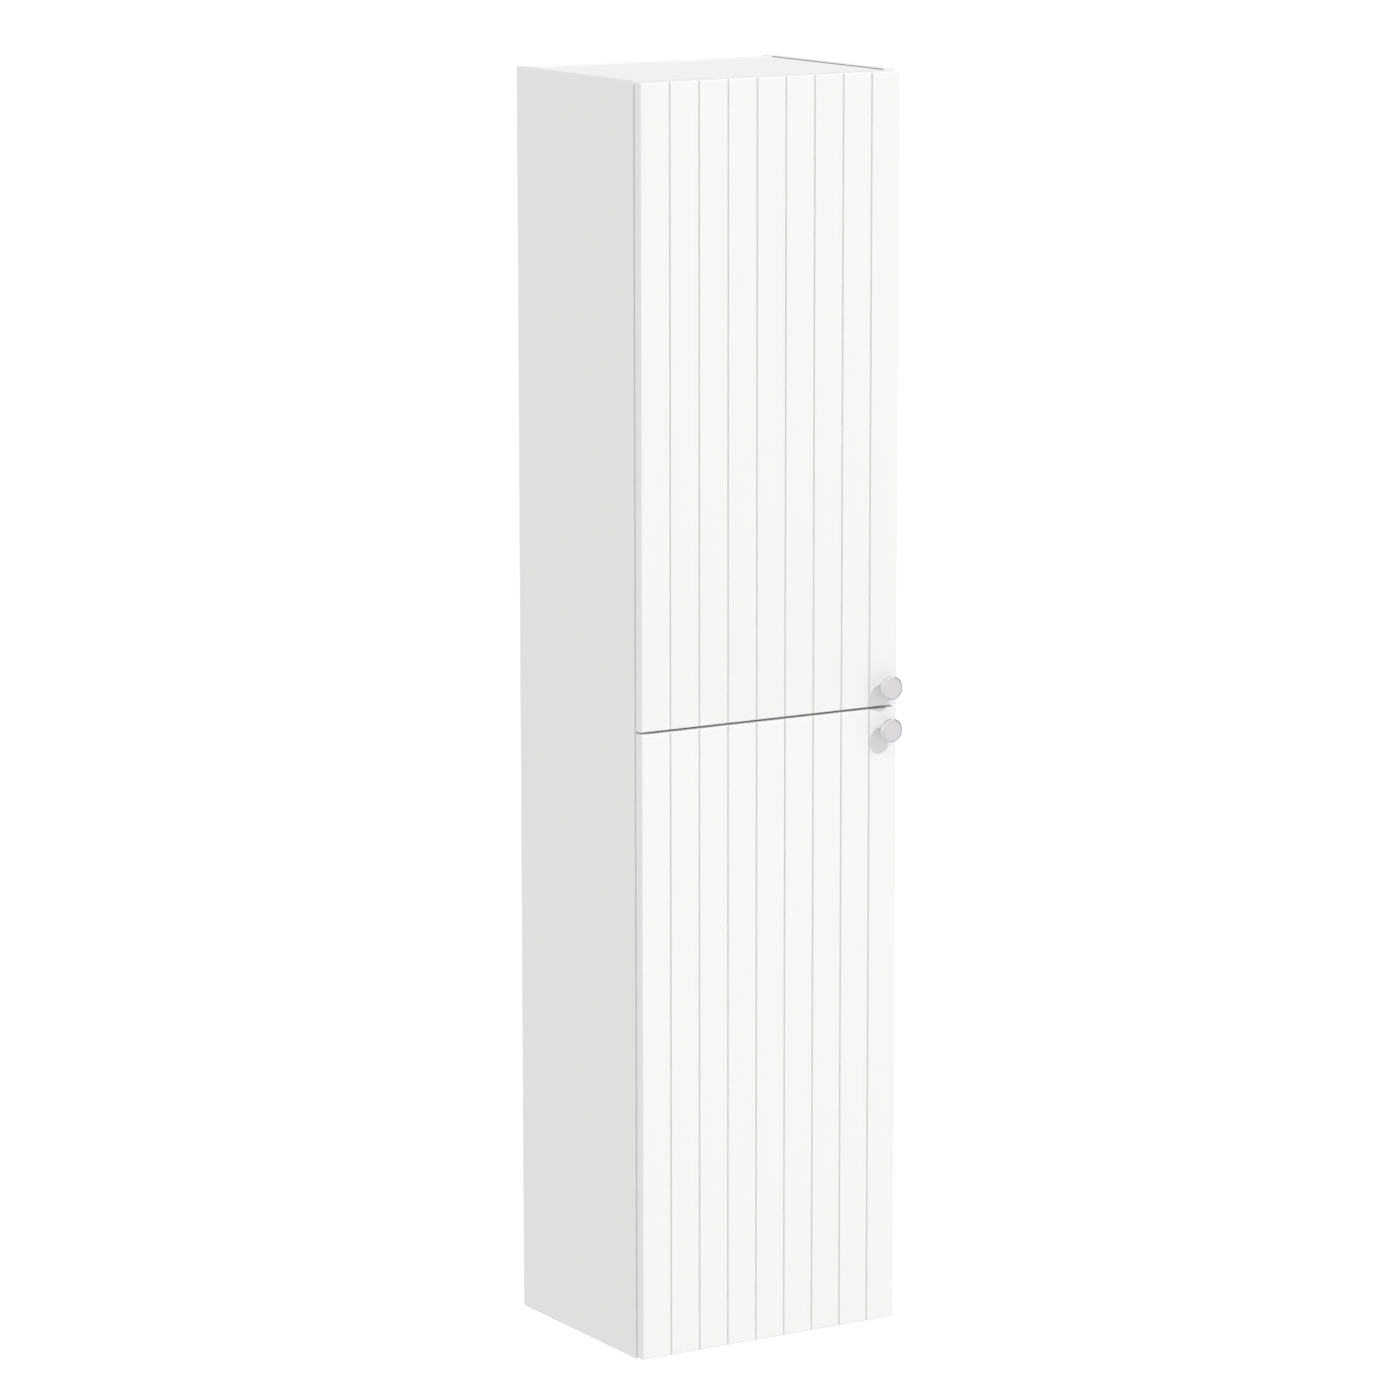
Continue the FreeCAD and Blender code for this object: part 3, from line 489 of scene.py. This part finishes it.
def build_door(sizes, which):
    """One door: a slab with grooves, rounded front edges and two round bores at its rear."""
    node = f"{which}_door"
    low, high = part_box(node)
    left, right, face, rear = low.x, high.x, low.y, high.y
    radius, end_radius = sizes.door_round, sizes.door_end_round
    pitch = (right - left + 2 * sizes.outer_plank_trim) / sizes.planks
    middle = (left + right) / 2
    outline = [(left + step, face + round_over(step, radius)) for step in edge_steps(radius)]
    for count in range(sizes.planks - 1):
        line = middle + (count - (sizes.planks - 2) / 2) * pitch
        outline += [(line + x, face + y) for x, y in groove_outline(sizes)]
    outline += [(right - step, face + round_over(step, radius))
                for step in edge_steps(radius)[::-1]]
    outline += [(right, rear - BACK_EASE), (right - BACK_EASE, rear),
                (left + BACK_EASE, rear), (left, rear - BACK_EASE)]
    levels = [low.z + step for step in edge_steps(end_radius)]
    levels += [high.z - step for step in edge_steps(end_radius)[::-1]]

    data = bmesh.new()
    points = [data.verts.new((x, y, low.z)) for x, y in outline]
    ring = [data.edges.new(pair) for pair in zip(points, points[1:] + points[:1])]
    for level in levels[1:]:
        grown = bmesh.ops.extrude_edge_only(data, edges=ring)["geom"]
        ring = [each for each in grown if isinstance(each, bmesh.types.BMEdge) and each.is_boundary]
        for point in {end for edge in ring for end in edge.verts}:
            point.co.z = level
    close_ends(data)
    for point in data.verts:
        away = min(point.co.z - low.z, high.z - point.co.z)
        point.co.y = max(point.co.y, face + round_over(away, end_radius))
        if away < CLOSE:
            point.co.y = min(point.co.y, rear - BACK_EASE)
    piece = finish_piece(node, data)

    cup_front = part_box(f"{node}_hinge_cups")[0].y
    cup_middle = left + sizes.cup_edge + sizes.cup_radius
    for height in (low.z + sizes.hinge_inset, high.z - sizes.hinge_inset):
        cut_bore(piece, Vector((cup_middle, rear, height)), sizes.cup_radius + BORE_PLAY,
                 rear - cup_front + BORE_FLOOR)
    piece.data.set_sharp_from_angle(angle=math.radians(SMOOTH_UNDER))
    return piece


def cut_bore(piece, centre, radius, depth):
    """Takes a round blind bore along Y out of a piece for good."""
    data = bmesh.new()
    turned(data, centre + Vector((0, MM, 0)), Vector((0, -1, 0)),
           [(radius, 0.0), (radius, depth + MM)], BORE_SIDES)
    close_ends(data)
    bmesh.ops.recalc_face_normals(data, faces=data.faces)
    mesh = bpy.data.meshes.new("bore")
    data.to_mesh(mesh)
    data.free()
    cutter = bpy.data.objects.new("bore", mesh)
    bpy.context.scene.collection.objects.link(cutter)
    modifier = piece.modifiers.new("bore", "BOOLEAN")
    modifier.operation = "DIFFERENCE"
    modifier.solver = "EXACT"
    modifier.object = cutter
    bake(piece)
    bpy.data.objects.remove(cutter)
    bpy.data.meshes.remove(mesh)


def build_knob(which):
    """One turned knob: a stem, a disc with a bevelled rim and a flat face set a little back."""
    node = f"{which}_door_knob"
    forward = Vector((0, -1, 0))
    low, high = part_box(node)
    foot = Vector(((low.x + high.x) / 2, high.y, (low.z + high.z) / 2))
    _start, steps = measure(solids_of(node)[0], forward)
    radius = (high.x - low.x) / 2
    reach = high.y - low.y
    stem = steps[0][1]
    disc = next(away for away, wide in steps if wide > stem + MM)
    ring = steps[-1][1]
    bevel = reach - (radius - ring)
    face = max(away for away, _wide in steps if away < reach - 0.1 * MM)
    # edge is the finish of a painted dark reflection along the rim's rear round and around the
    # face.
    polished, satin, edge = range(3)
    # Radius and reach of each corner, and the finish from there to the next one.
    profile = [
        (stem, 0.0, polished),
        (stem, disc - KNOB_NECK, polished),
        (stem + 0.2 * MM, disc - 0.7 * MM, polished),
        (stem + 0.7 * MM, disc - 0.2 * MM, polished),
        (stem + KNOB_NECK, disc, polished),
        (radius - KNOB_REAR, disc, edge),
        (radius - 0.25 * MM, disc + 0.2 * MM, edge),
        (radius, disc + KNOB_REAR, polished),
        (radius, bevel - 0.2 * MM, polished),
        (radius - 0.08 * MM, bevel + 0.06 * MM, polished),
        (radius - KNOB_BEVEL, bevel + KNOB_BEVEL, satin),
        (ring + 0.15 * MM, reach - 0.15 * MM, satin),
        (ring + 0.05 * MM, reach - 0.03 * MM, satin),
        (ring - 0.06 * MM, reach, satin),
        (ring - 0.16 * MM, reach - 0.04 * MM, edge),
        (ring - 0.2 * MM, face, edge),
        (ring - 0.45 * MM, face, satin),
    ]
    data = bmesh.new()
    for (wide, away, finish), (next_wide, next_away, _next) in zip(profile, profile[1:]):
        known = set(data.faces)
        turned(data, foot, forward, [(wide, away), (next_wide, next_away)], KNOB_SIDES)
        for each in set(data.faces) - known:
            each.material_index = finish
    bmesh.ops.remove_doubles(data, verts=data.verts, dist=CLOSE)
    bmesh.ops.edgeloop_fill(data, edges=open_ends(data, foot, forward, face), mat_nr=satin)
    close_ends(data)
    # The last material is a painted dark reflection along the rim's edges.
    return finish_piece(node, data, ("satin_face", "painted_knob_rim_shade"), sharp=28.0)


class CabinetSizes(bpy.types.PropertyGroup):
    """Sizes of the fine pieces."""

    planks: bpy.props.IntProperty(
        name="Planks", description="Planks across a door", default=9, min=2)
    outer_plank_trim: bpy.props.FloatProperty(
        name="Outer plank trim", description="How much narrower the outer planks are",
        default=0.00085, unit="LENGTH", subtype="DISTANCE", precision=5)
    groove_width: bpy.props.FloatProperty(
        name="Groove width", description="Width of a groove at the face of the door",
        default=0.0029, unit="LENGTH", subtype="DISTANCE", precision=5)
    groove_neck: bpy.props.FloatProperty(
        name="Groove neck", description="Width of a groove below its eased corners",
        default=0.0022, unit="LENGTH", subtype="DISTANCE", precision=5)
    groove_floor: bpy.props.FloatProperty(
        name="Groove floor", description="Width of the floor of a groove",
        default=0.0019, unit="LENGTH", subtype="DISTANCE", precision=5)
    groove_ease: bpy.props.FloatProperty(
        name="Groove ease", description="Depth of the eased corners of a groove",
        default=0.0005, unit="LENGTH", subtype="DISTANCE", precision=5)
    groove_depth: bpy.props.FloatProperty(
        name="Groove depth", description="Depth of a groove",
        default=0.0036, unit="LENGTH", subtype="DISTANCE", precision=5)
    door_round: bpy.props.FloatProperty(
        name="Door edge", description="Radius of the long front edges of the doors",
        default=0.0018, unit="LENGTH", subtype="DISTANCE", precision=5)
    door_end_round: bpy.props.FloatProperty(
        name="Door end", description="Radius of the short front edges of the doors",
        default=0.0026, unit="LENGTH", subtype="DISTANCE", precision=5)
    hinge_inset: bpy.props.FloatProperty(
        name="Hinge inset", description="Hinge centre to the end of its door",
        default=0.1, unit="LENGTH", subtype="DISTANCE", precision=5)
    cup_radius: bpy.props.FloatProperty(
        name="Cup radius", description="Radius of the hinge cups",
        default=0.0175, unit="LENGTH", subtype="DISTANCE", precision=5)
    cup_edge: bpy.props.FloatProperty(
        name="Cup edge", description="Wood between a cup and the edge of the door",
        default=0.005, unit="LENGTH", subtype="DISTANCE", precision=5)
    board_ease: bpy.props.FloatProperty(
        name="Board edge", description="Rounding of the sharp edges of the boards",
        default=0.0004, unit="LENGTH", subtype="DISTANCE", precision=5)
    # Painted shade: how far down the dark band beside the top board reaches.
    joint_shade_depth: bpy.props.FloatProperty(
        name="Joint depth", description="How far the open joint reaches down beside the top board",
        default=0.0012, unit="LENGTH", subtype="DISTANCE", precision=5)
    glass_ease: bpy.props.FloatProperty(
        name="Glass edge", description="Rounding of the edges of the glass shelves",
        default=0.0006, unit="LENGTH", subtype="DISTANCE", precision=5)
    metal_ease: bpy.props.FloatProperty(
        name="Metal edge", description="Rounding of the edges of the hinges",
        default=0.0002, unit="LENGTH", subtype="DISTANCE", precision=5)
    floor_drop: bpy.props.FloatProperty(
        name="Floor drop", description="Height at which the cabinet hangs above the floor",
        default=0.6, unit="LENGTH", subtype="DISTANCE")


class CabinetLooks(bpy.types.PropertyGroup):
    """Colours and light."""

    lacquer: bpy.props.FloatVectorProperty(
        name="Lacquer", description="White of the boards and doors", subtype="COLOR",
        default=(0.90, 0.90, 0.90), min=0, max=1)
    lacquer_gloss: bpy.props.FloatProperty(
        name="Lacquer roughness", description="Roughness of the lacquer", subtype="FACTOR",
        default=0.45, min=0, max=1)
    chrome: bpy.props.FloatVectorProperty(
        name="Chrome", description="Colour of the knobs' rims", subtype="COLOR",
        default=(0.95, 0.95, 0.955), min=0, max=1)
    # Painted shade: the dark colour of the band beside the top board, in place of the shade there.
    painted_joint_shade: bpy.props.FloatVectorProperty(
        name="Open joint", description="Colour in the joints along the top board",
        subtype="COLOR", default=(0.34, 0.34, 0.34), min=0, max=1)
    # Painted reflection: darker metal that stands in for the dark reflections along the rims'
    # edges.
    painted_knob_rim_shade: bpy.props.FloatVectorProperty(
        name="Knob edge", description="Darker metal along the edges of the knobs' rims",
        subtype="COLOR", default=(0.30, 0.30, 0.32), min=0, max=1)
    knob_face: bpy.props.FloatVectorProperty(
        name="Knob face", description="Colour of the knobs' flat faces", subtype="COLOR",
        default=(0.745, 0.73, 0.745), min=0, max=1)
    nickel: bpy.props.FloatVectorProperty(
        name="Hinge steel", description="Colour of the hinges", subtype="COLOR",
        default=(0.62, 0.61, 0.59), min=0, max=1)
    zinc: bpy.props.FloatVectorProperty(
        name="Hanger steel", description="Colour of the hooks and wall plates", subtype="COLOR",
        default=(0.55, 0.56, 0.58), min=0, max=1)
    screw: bpy.props.FloatVectorProperty(
        name="Screws", description="Colour of the screws and pegs", subtype="COLOR",
        default=(0.60, 0.60, 0.58), min=0, max=1)
    glass: bpy.props.FloatVectorProperty(
        name="Glass", description="Tint of the shelves", subtype="COLOR",
        default=(0.93, 0.98, 0.96), min=0, max=1)
    hanger: bpy.props.FloatVectorProperty(
        name="Hangers", description="Colour of the hangers", subtype="COLOR",
        default=(0.80, 0.80, 0.79), min=0, max=1)
    buffer: bpy.props.FloatVectorProperty(
        name="Buffers", description="Colour of the door buffers", subtype="COLOR",
        default=(0.70, 0.72, 0.73), min=0, max=1)
    beech: bpy.props.FloatVectorProperty(
        name="Beech", description="Colour of the loose tongues", subtype="COLOR",
        default=(0.52, 0.34, 0.18), min=0, max=1)
    world_light: bpy.props.FloatProperty(
        name="World light", description="Strength of the even light", default=0.745, min=0)
    left_light: bpy.props.FloatProperty(
        name="Left light", description="How much stronger the even light is from the left",
        default=0.13, min=0)
    sun_light: bpy.props.FloatProperty(
        name="Key light", description="Strength of the key lamp", default=0.975, min=0)
    sun_turn: bpy.props.FloatProperty(
        name="Key turn", description="Turn of the key lamp to the right of straight ahead",
        default=math.radians(14.2), unit="ROTATION", subtype="ANGLE")
    sun_height: bpy.props.FloatProperty(
        name="Key height", description="Height of the key lamp above the horizon",
        default=math.radians(38.0), unit="ROTATION", subtype="ANGLE")
    sun_size: bpy.props.FloatProperty(
        name="Key size", description="Apparent size of the key lamp, which softens its shadows",
        default=math.radians(1.8), unit="ROTATION", subtype="ANGLE")
    floor_glow: bpy.props.FloatProperty(
        name="Floor glow", description="What the camera sees on top of the light on the floor",
        default=0.3, min=0)
    floor: bpy.props.FloatVectorProperty(
        name="Floor", description="Pale colour of the floor", subtype="COLOR",
        default=(0.82, 0.82, 0.82), min=0, max=1)


class CABINET_OT_materials(bpy.types.Operator):
    """Make the materials that the pieces share"""

    bl_idname = "cabinet.materials"
    bl_label = "Materials"

    def execute(self, context):
        looks = context.scene.cabinet_looks
        lacquer_material(looks)
        metal_material("knob_chrome", looks.chrome, 0.12)
        metal_material("satin_face", looks.knob_face, 0.4, metallic=0.35)
        # Painted dark reflection along the rims' edges.
        metal_material("painted_knob_rim_shade", looks.painted_knob_rim_shade, 0.2, metallic=0.9)
        # Painted shade in the joint beside the top board.
        plastic_material("painted_joint_shade", looks.painted_joint_shade, 0.8)
        metal_material("nickel_steel", looks.nickel, 0.3, stretch=(1, 1, 6))
        metal_material("zinc_steel", looks.zinc, 0.42)
        metal_material("screw_steel", looks.screw, 0.34)
        glass_material(looks)
        plastic_material("hanger_plastic", looks.hanger, 0.35)
        plastic_material("buffer_plastic", looks.buffer, 0.5)
        beech_material(looks)
        return {"FINISHED"}


class CABINET_OT_carcass(bpy.types.Operator):
    """Finish the boards, the back and the loose tongues of the carcass"""

    bl_idname = "cabinet.carcass"
    bl_label = "Carcass"

    def execute(self, context):
        sizes = context.scene.cabinet_sizes
        for side in SIDES:
            build_side(sizes, side)
        for node in ("top_panel", "bottom_panel", "middle_shelf", "back_panel"):
            soften(node, sizes.board_ease, shortest=SHORT_ON_BOARD)
        soften("joint_tongues", sizes.board_ease)
        return {"FINISHED"}


class CABINET_OT_doors(bpy.types.Operator):
    """Build both doors with their grooves and rounded edges"""

    bl_idname = "cabinet.doors"
    bl_label = "Doors"

    def execute(self, context):
        sizes = context.scene.cabinet_sizes
        for which in DOORS:
            build_door(sizes, which)
            buffers(f"{which}_door_buffers")
        return {"FINISHED"}


class CABINET_OT_knobs(bpy.types.Operator):
    """Build both knobs and their screws"""

    bl_idname = "cabinet.knobs"
    bl_label = "Knobs"

    def execute(self, context):
        for which in DOORS:
            build_knob(which)
            screws(f"{which}_door_knob_screw")
        return {"FINISHED"}


class CABINET_OT_shelves(bpy.types.Operator):
    """Finish the glass shelves and their pegs"""

    bl_idname = "cabinet.shelves"
    bl_label = "Shelves"

    def execute(self, context):
        sizes = context.scene.cabinet_sizes
        for node in frame["nodes"]:
            if "glass_shelf" in node:
                soften(node, sizes.glass_ease, segments=3)
        pins("shelf_pegs", PEG_EASE)
        return {"FINISHED"}


class CABINET_OT_hinges(bpy.types.Operator):
    """Finish the four hinges and their screws"""

    bl_idname = "cabinet.hinges"
    bl_label = "Hinges"

    def execute(self, context):
        sizes = context.scene.cabinet_sizes
        for which in DOORS:
            for piece in ("bottom_hinge_plate", "top_hinge_plate", "bottom_hinge_arm",
                          "top_hinge_arm", "hinge_cups", "inner_links", "outer_links"):
                soften(f"{which}_door_{piece}", sizes.metal_ease)
            screws(f"{which}_door_cup_screws")
        screws("hinge_plate_screws")
        screws("hinge_clamp_screws")
        return {"FINISHED"}


class CABINET_OT_hangers(bpy.types.Operator):
    """Finish the hangers, their hooks, screws and wall plates"""

    bl_idname = "cabinet.hangers"
    bl_label = "Hangers"

    def execute(self, context):
        sizes = context.scene.cabinet_sizes
        for side in SIDES:
            soften(f"{side}_hanger", sizes.board_ease, shortest=SHORT_ON_HANGER)
            soften(f"{side}_hanger_hook", sizes.metal_ease)
            soften(f"{side}_wall_plate", sizes.metal_ease)
        screws("hanger_adjusters", Vector((0, 1, 0)))
        screws("hanger_fixing_screws")
        return {"FINISHED"}


def add_floor(scene):
    """A pale floor. What it adds for the camera alone keeps the background white."""
    level = cad_low.z - scene.cabinet_sizes.floor_drop
    data = bmesh.new()
    bmesh.ops.create_grid(data, x_segments=1, y_segments=1, size=FLOOR_REACH,
                          matrix=Matrix.Translation((0, 0, level)))
    mesh = bpy.data.meshes.new("floor")
    data.to_mesh(mesh)
    data.free()
    floor = bpy.data.objects.new("floor", mesh)
    scene.collection.objects.link(floor)
    nodes, links, shader = new_material("floor", scene.cabinet_looks.floor, roughness=0.9)
    rays = nodes.new("ShaderNodeLightPath")
    glow = nodes.new("ShaderNodeMath")
    glow.operation = "MULTIPLY"
    glow.inputs[1].default_value = scene.cabinet_looks.floor_glow
    links.new(rays.outputs["Is Camera Ray"], glow.inputs[0])
    shader.inputs["Emission Color"].default_value = (1, 1, 1, 1)
    links.new(glow.outputs[0], shader.inputs["Emission Strength"])
    mesh.materials.append(bpy.data.materials["floor"])


def add_world(scene):
    """Soft light all round, a little stronger from the left.

    The camera and the glass see it white, and gloss sees a dark panel on the far right.
    """
    looks = scene.cabinet_looks
    world = bpy.data.worlds.new("studio")
    scene.world = world
    world.use_nodes = True
    nodes, links = world.node_tree.nodes, world.node_tree.links
    ground = nodes["Background"]
    ground.inputs["Color"].default_value = (1, 1, 1, 1)
    place = nodes.new("ShaderNodeTexCoord")
    split = nodes.new("ShaderNodeSeparateXYZ")
    slope = nodes.new("ShaderNodeMapRange")
    slope.inputs["From Min"].default_value = -1.0
    slope.inputs["From Max"].default_value = 1.0
    slope.inputs["To Min"].default_value = looks.world_light * (1 + looks.left_light)
    slope.inputs["To Max"].default_value = looks.world_light * (1 - looks.left_light)
    panel = nodes.new("ShaderNodeMapRange")
    panel.inputs["From Min"].default_value = PANEL_START
    panel.inputs["From Max"].default_value = PANEL_END
    panel.inputs["To Min"].default_value = 1.0
    panel.inputs["To Max"].default_value = PANEL_LIGHT
    rays = nodes.new("ShaderNodeLightPath")
    glossy = nodes.new("ShaderNodeMix")
    plain = nodes.new("ShaderNodeMath")
    plain.operation = "MAXIMUM"
    strength = nodes.new("ShaderNodeMix")
    strength.inputs["B"].default_value = 1.0
    links.new(place.outputs["Generated"], split.inputs["Vector"])
    links.new(split.outputs["X"], slope.inputs["Value"])
    links.new(split.outputs["X"], panel.inputs["Value"])
    links.new(rays.outputs["Is Glossy Ray"], glossy.inputs["Factor"])
    links.new(slope.outputs["Result"], glossy.inputs["A"])
    links.new(panel.outputs["Result"], glossy.inputs["B"])
    links.new(rays.outputs["Is Camera Ray"], plain.inputs[0])
    links.new(rays.outputs["Is Transmission Ray"], plain.inputs[1])
    links.new(plain.outputs[0], strength.inputs["Factor"])
    links.new(glossy.outputs["Result"], strength.inputs["A"])
    links.new(strength.outputs["Result"], ground.inputs["Strength"])


def add_key_lamp(scene):
    """One lamp high in front, a little to the right."""
    looks = scene.cabinet_looks
    lamp_data = bpy.data.lights.new("key", "SUN")
    lamp_data.energy = looks.sun_light
    lamp_data.angle = looks.sun_size
    lamp = bpy.data.objects.new("key", lamp_data)
    scene.collection.objects.link(lamp)
    level = math.cos(looks.sun_height)
    towards = Vector((math.sin(looks.sun_turn) * level, -math.cos(looks.sun_turn) * level,
                      math.sin(looks.sun_height)))
    lamp.location = (cad_low + cad_high) / 2 + towards * LAMP_DISTANCE
    lamp.rotation_euler = (-towards).to_track_quat("-Z", "Y").to_euler()


def add_camera(scene):
    """The camera stands to the left of the cabinet and looks a little down on it."""
    forward = Vector((math.sin(CAMERA_TURN) * math.cos(CAMERA_RISE),
                      math.cos(CAMERA_TURN) * math.cos(CAMERA_RISE), -math.sin(CAMERA_RISE)))
    level_right = forward.cross(Vector((0, 0, 1))).normalized()
    level_up = level_right.cross(forward)
    right = math.cos(CAMERA_ROLL) * level_right + math.sin(CAMERA_ROLL) * level_up
    up = -math.sin(CAMERA_ROLL) * level_right + math.cos(CAMERA_ROLL) * level_up
    camera_data = bpy.data.cameras.new("camera")
    camera_data.sensor_width = 36.0
    camera_data.lens = camera_data.sensor_width * CAMERA_FOCAL / IMAGE_SIDE
    camera_data.clip_start, camera_data.clip_end = 0.1, 200.0
    camera = bpy.data.objects.new("camera", camera_data)
    scene.collection.objects.link(camera)
    place = CAMERA_AIM - forward * CAMERA_DISTANCE + right * CAMERA_ASIDE + up * CAMERA_ABOVE
    camera.matrix_world = Matrix((
        (right.x, up.x, -forward.x, place.x),
        (right.y, up.y, -forward.y, place.y),
        (right.z, up.z, -forward.z, place.z),
        (0, 0, 0, 1),
    ))
    scene.camera = camera


class CABINET_OT_stage(bpy.types.Operator):
    """Add the floor, the lights and the camera"""

    bl_idname = "cabinet.stage"
    bl_label = "Stage"

    def execute(self, context):
        add_floor(context.scene)
        add_world(context.scene)
        add_key_lamp(context.scene)
        add_camera(context.scene)
        context.scene.view_settings.view_transform = "Standard"
        return {"FINISHED"}


class CABINET_PT_panel(bpy.types.Panel):
    """Lists the sizes, the looks and the steps"""

    bl_idname = "CABINET_PT_panel"
    bl_label = "Bathroom Cabinet"
    bl_space_type = "VIEW_3D"
    bl_region_type = "UI"
    bl_category = "Cabinet"

    def draw(self, context):
        layout = self.layout
        for group in (context.scene.cabinet_sizes, context.scene.cabinet_looks):
            for key in group.__annotations__:
                layout.prop(group, key)
        for step in STEPS:
            layout.operator(step.bl_idname)


STEPS = (CABINET_OT_materials, CABINET_OT_carcass, CABINET_OT_doors, CABINET_OT_knobs,
         CABINET_OT_shelves, CABINET_OT_hinges, CABINET_OT_hangers, CABINET_OT_stage)
CLASSES = (CabinetSizes, CabinetLooks, *STEPS, CABINET_PT_panel)


def register():
    for each in CLASSES:
        bpy.utils.register_class(each)
    bpy.types.Scene.cabinet_sizes = bpy.props.PointerProperty(type=CabinetSizes)
    bpy.types.Scene.cabinet_looks = bpy.props.PointerProperty(type=CabinetLooks)


def unregister():
    del bpy.types.Scene.cabinet_looks
    del bpy.types.Scene.cabinet_sizes
    for each in reversed(CLASSES):
        bpy.utils.unregister_class(each)


def main():
    """Makes everything in order."""
    register()
    for step in STEPS:
        group, action = step.bl_idname.split(".")
        result = getattr(getattr(bpy.ops, group), action)()
        if result != {"FINISHED"}:
            raise RuntimeError(f"{step.bl_idname} did not finish")


if __name__ == "__main__":
    main()
